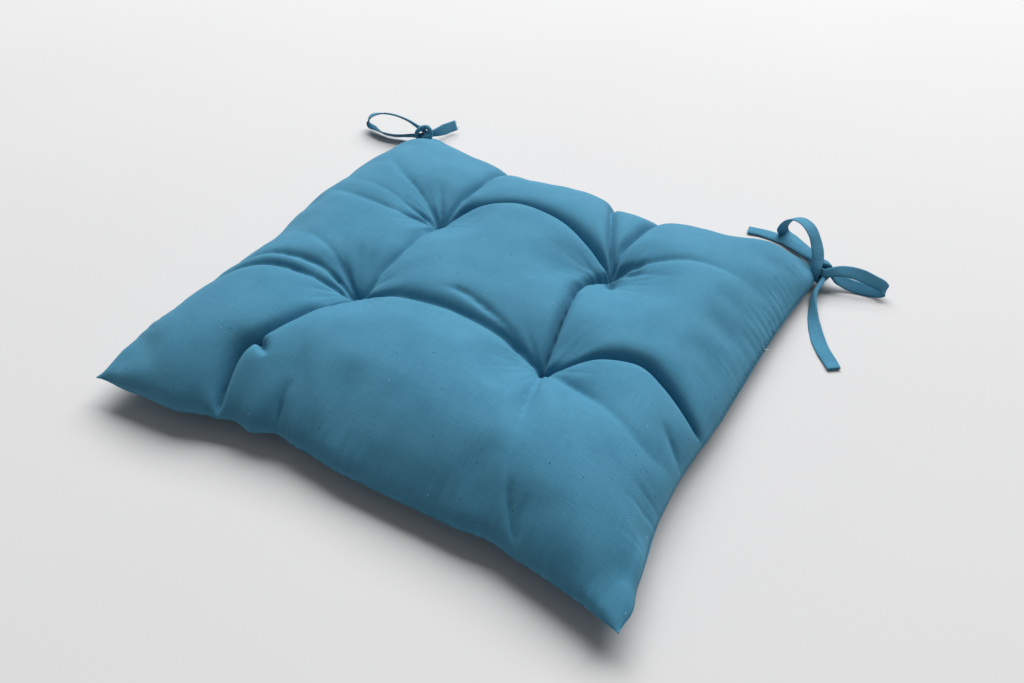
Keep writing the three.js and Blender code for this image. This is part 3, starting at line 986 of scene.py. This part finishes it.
def grid_faces(start, flip, shared):
    n = CELLS + 1
    faces = []
    for j in range(CELLS):
        for i in range(CELLS):
            quad = [j * n + i, j * n + i + 1, (j + 1) * n + i + 1, (j + 1) * n + i]
            quad = [shared[q] if start else q for q in quad]
            faces.append(quad[::-1] if flip else quad)
    return faces


def pad_shell(top, under):
    """Both panels as one closed mesh: top faces carry material 0, bottom faces material 1."""
    n = CELLS + 1
    edge = np.zeros((n, n), bool)
    edge[0, :] = edge[-1, :] = edge[:, 0] = edge[:, -1] = True
    points = list(top.reshape(-1, 3))
    shared = np.empty(n * n, int)
    for k, (on_edge, place) in enumerate(zip(edge.ravel(), under.reshape(-1, 3))):
        if on_edge:
            shared[k] = k
        else:
            shared[k] = len(points)
            points.append(place)
    faces = grid_faces(False, False, shared) + grid_faces(True, True, shared)
    shell = mesh_piece("pad_shell", points, faces)
    layer = shell.data.uv_layers.new(name="UVMap")
    where = {int(k): i for i, k in enumerate(shared)}
    for face in shell.data.polygons:
        below = face.index >= CELLS * CELLS
        face.material_index = int(below)
        for loop, k in zip(face.loop_indices, face.vertices):
            flat = where[k] if below else k
            layer.data[loop].uv = ((flat % n) / CELLS, (flat // n) / CELLS)
    return shell, edge, shared


MOST_MOVE = 0.0065  # how far the filling may swell any point of cloth
SIM_FRAMES = 16
TUFT_HELD = 0.0055  # radius round a tuft where the cloth can't swell
CREASE_HOLD = 0.92  # how much of the swelling the deep creases resist
EVENING_PASSES = 12  # how often the swelling is evened out


def swell(shell, edge):
    """How far the filling's pressure moves each point of cloth, held at its seam and tufts."""
    before = points_of(shell.data)
    held = shell.vertex_groups.new(name="held")
    for k in np.flatnonzero(edge.ravel()):
        held.add([int(k)], 1.0, "REPLACE")
    for centre in TUFTS.values():
        away = np.hypot(before[:, 0] - centre[0], before[:, 1] - centre[1])
        for k in np.flatnonzero(away < TUFT_HELD):
            held.add([int(k)], 1.0, "REPLACE")
    pick(shell)
    cloth = shell.modifiers.new("Cloth", "CLOTH")
    settings = cloth.settings
    settings.quality = 6
    settings.mass = 0.25
    settings.tension_stiffness = 18
    settings.compression_stiffness = 14
    settings.shear_stiffness = 6
    settings.bending_stiffness = 0.12
    settings.use_pressure = True
    settings.uniform_pressure_force = 4
    settings.shrink_min = -0.025
    settings.vertex_group_mass = "held"
    settings.effector_weights.gravity = 0
    cloth.collision_settings.use_self_collision = False
    cloth.point_cache.frame_start = 1
    cloth.point_cache.frame_end = SIM_FRAMES
    SCENE.frame_start, SCENE.frame_end = 1, SIM_FRAMES
    for step in range(1, SIM_FRAMES + 1):
        SCENE.frame_set(step)
    bpy.ops.object.modifier_apply(modifier="Cloth")
    SCENE.frame_set(1)
    moved = points_of(shell.data) - before
    far = np.linalg.norm(moved, axis=1, keepdims=True)
    return before, moved * np.minimum(1, MOST_MOVE / np.maximum(far, 1e-9))


def evened(field):
    """A grid of moves with its small buckles smoothed out."""
    for _ in range(EVENING_PASSES):
        padded = np.pad(field, ((1, 1), (1, 1), (0, 0)), mode="edge")
        around = padded[:-2, 1:-1] + padded[2:, 1:-1] + padded[1:-1, :-2] + padded[1:-1, 2:]
        field = (field + around / 4) / 2
    return field


def settle(shell, edge, shared, crease):
    """Let the pad swell, evenly on top, less in its creases and not at all at its seam."""
    before, moved = swell(shell, edge)
    on_top = moved[: crease.size]
    on_top[:] = evened(on_top.reshape(*crease.shape, 3)).reshape(-1, 3)
    on_top[edge.ravel()] = 0
    steps = np.abs(np.linspace(-1, 1, CELLS + 1))
    ring = np.maximum(steps[None], steps[:, None]).ravel()
    free = np.clip((0.985 - ring) / 0.13, 0, 1)
    below = shared >= crease.size
    moved[shared[below]] *= free[below, None]
    on_top *= 1 - CREASE_HOLD * np.minimum(1, (crease.ravel() / 0.34) ** 1.5)[:, None]
    set_points(shell.data, before + moved)


def crisp_seam(shell, edge):
    """Subdivision leaves the seam's knife edge sharp."""
    on_edge = np.zeros(len(shell.data.vertices), bool)
    on_edge[: edge.size] = edge.ravel()
    sharpness = shell.data.attributes.new("crease_edge", "FLOAT", "EDGE")
    for line, mark in zip(shell.data.edges, sharpness.data):
        mark.value = float(on_edge[line.vertices[0]] and on_edge[line.vertices[1]])


def keep_off_floor(shell):
    set_points(shell.data, floor_clear(points_of(shell.data), 0.0004))


def split_panels(shell):
    """The shell apart at its seam, as a top and a bottom cloth."""
    pick(shell)
    for name in ("top", "bottom"):
        shell.data.materials.append(bpy.data.materials.new(name))
    for face in shell.data.polygons:
        face.material_index = int(face.index >= len(shell.data.polygons) // 2)
    bpy.ops.object.mode_set(mode="EDIT")
    bpy.ops.mesh.select_all(action="SELECT")
    bpy.ops.mesh.separate(type="MATERIAL")
    bpy.ops.object.mode_set(mode="OBJECT")
    parts = sorted(bpy.context.selected_objects, key=lambda o: -max(points_of(o.data)[:, 2]))
    for part, name in zip(parts, ("top_cloth", "bottom_cloth")):
        part.name = name
        part.data.name = name
    return parts


GROOVE_DEPTH, GROOVE_WIDTH = 0.0050, 0.0019  # the tight line at the bottom of a deep crease
PIT_DEPTH, PIT_WIDTH = 0.0045, 0.0030  # the cloth right at a tuft's stitch
DRAG_DEPTH, DRAG_NEAR, DRAG_REACH = 0.0009, 0.016, 0.017
PUCKER_DEPTH, PUCKER_NEAR, PUCKER_REACH = 0.0008, 0.008, 0.010
SEAM_BAND = 0.06  # how far in from the seam puckers are worked out
GROOVES_FADE = 0.007  # the grooves and pits end this far from the seam


def groove_drop(flat):
    """How far the cloth drops at the bottom of the creases."""
    drop = np.zeros(len(flat))
    for route, depths, _, _, pinch in CREASES:
        raw = np.array(route, float) * MM
        away, _, place, _ = near_line(flat, curve_through(raw, CREASE_STEP))
        deep = np.interp(place, along(raw) / along(raw)[-1], depths)
        strength = GROOVE_DEPTH * min(pinch / 5, 1) * np.minimum(deep / 0.18, 1)
        drop = np.maximum(drop, strength * np.exp(-away / GROOVE_WIDTH))
    return drop


def drag_lines(away, turn, seed):
    """Fine folds that run out from a tuft."""
    drag = [
        noise.noise(Vector((3.2 * math.cos(a), 3.2 * math.sin(a), d * 18 + seed)))
        for a, d in zip(turn, away)
    ]
    ridge = (1 - 2 * np.abs(np.array(drag))) ** 2
    reach = np.exp(-(((away - DRAG_NEAR) / DRAG_REACH) ** 2))
    return DRAG_DEPTH * ridge * reach


def seam_puckers(flat, from_edge, run):
    """Short folds across the seam, in patches, and fewer of them at the front."""
    fine, patch = [], []
    for r, e in zip(run, from_edge):
        near = e < SEAM_BAND
        fine.append(noise.noise(Vector((r / 0.0075, e / 0.05, 3.1))) if near else 0)
        patch.append(noise.noise(Vector((r / 0.05, e / 0.06, 8.7))) if near else 0)
    fold = np.clip(1 - 2.2 * np.abs(np.array(fine)), 0, 1) ** 1.5
    at_front = np.exp(-((flat[:, 1] - settled_top[..., 1].min()) / 0.03) ** 2)
    amount = np.clip(0.10 + 1.9 * np.array(patch), 0, 1) * (1 - 0.6 * at_front)
    reach = np.exp(-(((from_edge - PUCKER_NEAR) / PUCKER_REACH) ** 2))
    return PUCKER_DEPTH * fold * amount * reach


def sharpen(cloth):
    """Crisp lines at the bottom of the creases, fine drag lines out of the tufts, and puckers
    at the seam, which the swelling softened."""
    pick(cloth)
    points = points_of(cloth.data)
    flat = points[:, :2]
    normals = np.empty(len(points) * 3)
    cloth.data.vertices.foreach_get("normal", normals)
    sink = np.zeros(len(points))
    drop = groove_drop(flat)
    for centre in TUFTS.values():
        gap = flat - centre
        away = np.hypot(gap[:, 0], gap[:, 1])
        sink += drag_lines(away, np.arctan2(gap[:, 1], gap[:, 0]), centre[0] * 99)
        drop = np.maximum(drop, PIT_DEPTH * np.exp(-away / PIT_WIDTH))
    sides = [settled_top[0, ::4], settled_top[::4, -1], settled_top[-1, ::-4], settled_top[::-4, 0]]
    ring = np.vstack(sides)[:, :2]
    from_edge, _, place, _ = near_line(flat, ring)
    sink += seam_puckers(flat, from_edge, place * along(ring)[-1])
    points -= normals.reshape(-1, 3) * sink[:, None]
    points[:, 2] -= drop * np.clip(from_edge / GROOVES_FADE, 0, 1)
    set_points(cloth.data, points)


def thicken(cloth):
    pick(cloth)
    wall = cloth.modifiers.new("Wall", "SOLIDIFY")
    wall.thickness = CLOTH_THICK
    wall.offset = -1
    bpy.ops.object.modifier_apply(modifier="Wall")
    return smooth(cloth)


def spread_to_neighbours(field, choose):
    """Each cell takes its neighbours' value where that is the chosen one."""
    wide = np.pad(field, 1, mode="edge")
    for j in range(3):
        for i in range(3):
            field = choose(field, wide[j : j + field.shape[0], i : i + field.shape[1]])
    return field


FILLING_INSET = 5  # cells between the filling's side and the seam
FILLING_GAP = 0.0016  # between the filling and the cloth


def filling_from(shell, shared, crease):
    """Fibre that fills the pad just inside the cloth, as a closed body of its own."""
    n = CELLS + 1
    points = points_of(shell.data)
    top = points[: n * n].reshape(n, n, 3).copy()
    under = points[shared].reshape(n, n, 3).copy()
    for _ in range(2):
        top[..., 2] = spread_to_neighbours(top[..., 2], np.minimum)
        under[..., 2] = spread_to_neighbours(under[..., 2], np.maximum)
    cut = slice(FILLING_INSET, n - FILLING_INSET, 2)
    high = top[cut, cut] - (0, 0, FILLING_GAP)
    low = under[cut, cut] + (0, 0, FILLING_GAP)
    creased = spread_to_neighbours(crease, np.maximum)[cut, cut]
    high[..., 2] -= 0.007 * tuft_field(high, 0.014, 0.014)
    high[..., 2] -= 0.0055 * np.minimum(creased / 0.3, 1)
    low[..., 2] = np.minimum(low[..., 2], high[..., 2] - 0.002)
    m = high.shape[0]
    flat = np.arange(m * m).reshape(m, m)
    faces = []
    for j in range(m - 1):
        for i in range(m - 1):
            quad = [flat[j, i], flat[j, i + 1], flat[j + 1, i + 1], flat[j + 1, i]]
            faces.append(quad)
            faces.append([q + m * m for q in quad[::-1]])
    border = [*flat[0, :-1], *flat[:-1, -1], *flat[-1, :0:-1], *flat[:0:-1, 0]]
    for a, b in zip(border, border[1:] + border[:1]):
        faces.append([b, a, a + m * m, b + m * m])
    body = mesh_piece("filling_fibre", np.vstack([high.reshape(-1, 3), low.reshape(-1, 3)]), faces)
    return smooth(body)


PANEL_SIZE = 0.43  # how wide each panel was cut, inside its seam allowance
top, under, crease = panel_shapes()
shell, edge, shared = pad_shell(top, under)
settle(shell, edge, shared, crease)
keep_off_floor(shell)
settled = points_of(shell.data)
settled_top = settled[: crease.size].reshape(*crease.shape, 3)
settled_under = settled[shared].reshape(*crease.shape, 3)
filling = filling_from(shell, shared, crease)
pick(shell)
crisp_seam(shell, edge)
finer = shell.modifiers.new("Finer", "SUBSURF")
finer.levels = finer.render_levels = 1
bpy.ops.object.modifier_apply(modifier="Finer")
keep_off_floor(shell)
top_cloth, bottom_cloth = split_panels(shell)
sharpen(top_cloth)
PANEL_CLOTH = cotton("panel_cotton", PANEL_SIZE, PANEL_SIZE)
for cloth, node in ((top_cloth, "cover_top"), (bottom_cloth, "cover_bottom")):
    thicken(cloth)
    dress(cloth, PANEL_CLOTH, "cover_cotton", "pad", node)
dress(filling, fibre_filling("polyester_fibre"), "filling_fibre", "pad", "filling")

# ---- threads --------------------------------------------------------------------------------


def grid_row(grid, side, inset):
    """The points of a panel that lie a few cells in from one side."""
    rows = {"front": grid[inset], "back": grid[-1 - inset], "left": grid[:, inset]}
    rows["right"] = grid[:, -1 - inset]
    return rows[side]


def edge_seam():
    """The lockstitch round the pad, just inside the edge."""
    middle = (settled_top + settled_under) / 2
    rows = [grid_row(middle, side, 1)[1:-1] for side in ("front", "right")]
    rows += [grid_row(middle, side, 1)[::-1][1:-1] for side in ("back", "left")]
    ring = curve_through(np.vstack(rows), 0.002)
    far = along(ring)
    places = []
    for start in np.arange(0, far[-1], STITCH_PITCH):
        i = min(int(np.searchsorted(far, start)), len(ring) - 2)
        ahead = unit(ring[i + 1] - ring[i])
        side = unit(np.cross((0, 0, 1), ahead))
        places.append(frame_matrix(ring[i], ahead, side, np.cross(ahead, side)))
    return copies("edge_seam_stitches", STITCH, places)


OPENING = 0.47, 0.75  # where the filling went in, as shares of the right side
BITE = 0.55  # how far in from the edge a closing stitch goes, in cells


def closing_seam():
    """Slanting hand stitches over the edge where the filling went in, on the right side."""
    row = grid_row(settled_top, "right", 0)
    inner_top = grid_row(settled_top, "right", 1)
    inner_under = grid_row(settled_under, "right", 1)
    out = np.array((0.00005, 0, 0))
    first, last = (int(share * CELLS) for share in OPENING)
    lines = []
    for k in range(first, last, 2):
        high = row[k] * (1 - BITE) + inner_top[k] * BITE
        low = row[k + 1] * (1 - BITE) + inner_under[k + 1] * BITE
        edge_middle = (row[k] + row[k + 1]) / 2
        over = (high + edge_middle) / 2 + out
        round_under = (low + edge_middle) / 2 + out
        points = [high - out * 2, over, edge_middle + out, round_under, low - out * 2]
        lines.append(curve_through(points, 0.0006))
    return strands("closing_seam_stitches", lines, 0.00014)


LOOSE_END_AT = 0.69  # share of the right side


def loose_end():
    """The pale end of the closing thread, which was not cut short."""
    row = grid_row(settled_top, "right", 0)
    start = row[int(LOOSE_END_AT * CELLS)] + (-0.0012, 0, 0.0012)
    shape = [(0, 0, 0), (1.0, -0.6, 0.6), (2.2, -0.4, 0.4), (3.4, 0.8, -0.2), (4.2, 1.2, -1.4)]
    line = curve_through([start + np.array(p) * MM for p in shape], 0.0005)
    return strands("closing_thread_end", [line], 0.00030)


STITCH_REACH = 0.0026  # the cloth that a tuft's top stitch lies on
KNOT_RADIUS, KNOT_TURNS = 0.0012, 1.8


def tuft_thread(key, name):
    """Two strands down through the pad, a stitch across the dimple and a knot under it."""
    node = TUFT_NODES[key]
    low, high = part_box(node)
    centre = TUFTS[key]
    spacing = np.hypot(settled_top[..., 0] - centre[0], settled_top[..., 1] - centre[1])
    cloth = points_of(top_cloth.data)
    close_by = np.hypot(cloth[:, 0] - centre[0], cloth[:, 1] - centre[1]) < STITCH_REACH
    over = float(cloth[close_by, 2].min())
    beneath = settled_under[np.unravel_index(spacing.argmin(), spacing.shape)][2]
    half = (high.x - low.x) / 2 - 0.0008
    x, y = centre
    loop = [
        (x + half * 0.4, y, beneath - 0.0006),
        (x + half, y, beneath + 0.002),
        (x + half, y, (over + beneath) / 2),
        (x + half * 0.9, y, over),
        (x + half * 0.4, y + 0.0004, over + 0.0011),
        (x - half * 0.4, y - 0.0004, over + 0.0011),
        (x - half * 0.9, y, over),
        (x - half, y, (over + beneath) / 2),
        (x - half, y, beneath + 0.002),
        (x - half * 0.4, y, beneath - 0.0006),
    ]
    tails = [
        [(x + 0.0006, y, beneath - 0.0010), (x + 0.002, y + 0.003, beneath - 0.003),
         (x + 0.004, y + 0.007, beneath - 0.0055)],
        [(x - 0.0006, y, beneath - 0.0010), (x - 0.003, y - 0.001, beneath - 0.003),
         (x - 0.006, y + 0.001, beneath - 0.006)],
    ]
    knot = []
    for a in np.linspace(0, KNOT_TURNS * 2 * math.pi, 30):
        height = beneath - 0.0012 + 0.0004 * math.sin(2 * a)
        knot.append((x + KNOT_RADIUS * math.cos(a), y + KNOT_RADIUS * math.sin(a), height))
    lines = [curve_through(line, 0.0008) for line in (loop, *tails)]
    lines.append(np.array(knot))
    piece = strands(name, lines, 0.00038)
    set_points(piece.data, floor_clear(points_of(piece.data), 0.0003))
    return piece


def bartack(node):
    """A dense zigzag of stitches that holds two tapes in a corner."""
    low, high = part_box(node)
    middle = (low + high) / 2
    points = points_of(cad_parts[node].data)
    flat = points[:, :2] - points[:, :2].mean(0)
    _, _, axes = np.linalg.svd(flat, full_matrices=False)
    run = Vector((*axes[0], 0))
    over = Vector((-run.y, run.x, 0))
    turns, length, wide = 26, 0.0066, 0.0014
    line = []
    for k in range(turns + 1):
        side = 1 if k % 2 else -1
        place = middle + run * length * (k / turns - 0.5) + over * side * wide / 2
        line.append(place + Vector((0, 0, 0.0001 * side)))
        line.append(place - over * side * wide / 2 + Vector((0, 0, 0.0003)))
    return strands(node + "_zigzag", [np.array(line)], 0.00026)


dress(edge_seam(), THREAD_PETROL, "sewing_thread", "pad", "edge_seam_thread")
dress(closing_seam(), THREAD_PETROL, "sewing_thread", "pad", "closing_seam_thread")
dress(loose_end(), THREAD_PALE, "sewing_thread", "pad")
for key, node in TUFT_NODES.items():
    name = node.replace("thread", "stitch")
    dress(tuft_thread(key, name), THREAD_PETROL, "sewing_thread", "pad", node)
for node in ("bartack_left", "bartack_right"):
    dress(bartack(node), THREAD_PETROL, "sewing_thread", "pad", node)
bpy.data.objects.remove(STITCH)

# ---- floor, light -----------------------------------------------------------------------------


FLOOR_SIZE = 12
SKY = 0.185
KEY_PLACE, KEY_SIZE, KEY_WATTS = (-0.7, 3.2, 3.95), (6.5, 3.4), 510


def floor_cloth():
    s = Shader("pale_floor")
    place = s.node("ShaderNodeTexCoord")[3]
    broad = s.noise(place, 2.2, 3.0)
    colour = s.blend(broad, srgb(199, 199, 200), srgb(205, 205, 205))
    return s.finish({"Base Color": colour, "Roughness": 0.9, "Specular IOR Level": 0.1})


def add_floor():
    deselect()
    bpy.ops.mesh.primitive_plane_add(size=FLOOR_SIZE, location=(0, 0, 0))
    floor = new_piece("floor")
    floor.data.materials.append(floor_cloth())


def add_world(level):
    world = bpy.data.worlds.new("studio")
    SCENE.world = world
    world.use_nodes = True
    sky = world.node_tree.nodes["Background"]
    sky.inputs["Color"].default_value = (1.0, 1.0, 1.0, 1)
    sky.inputs["Strength"].default_value = level


def add_softbox(name, place, size, watts):
    """A large soft light that faces the pad."""
    toward = Vector((0, 0, 0.02)) - Vector(place)
    bpy.ops.object.light_add(type="AREA", location=place)
    lamp = bpy.context.active_object
    lamp.name = name
    lamp.data.energy = watts
    lamp.data.shape = "RECTANGLE"
    lamp.data.size, lamp.data.size_y = size
    lamp.rotation_euler = toward.to_track_quat("-Z", "Y").to_euler()


add_floor()
add_world(SKY)
add_softbox("key_softbox", KEY_PLACE, KEY_SIZE, KEY_WATTS)
SCENE.view_settings.view_transform = "Standard"

bpy.context.view_layer.update()
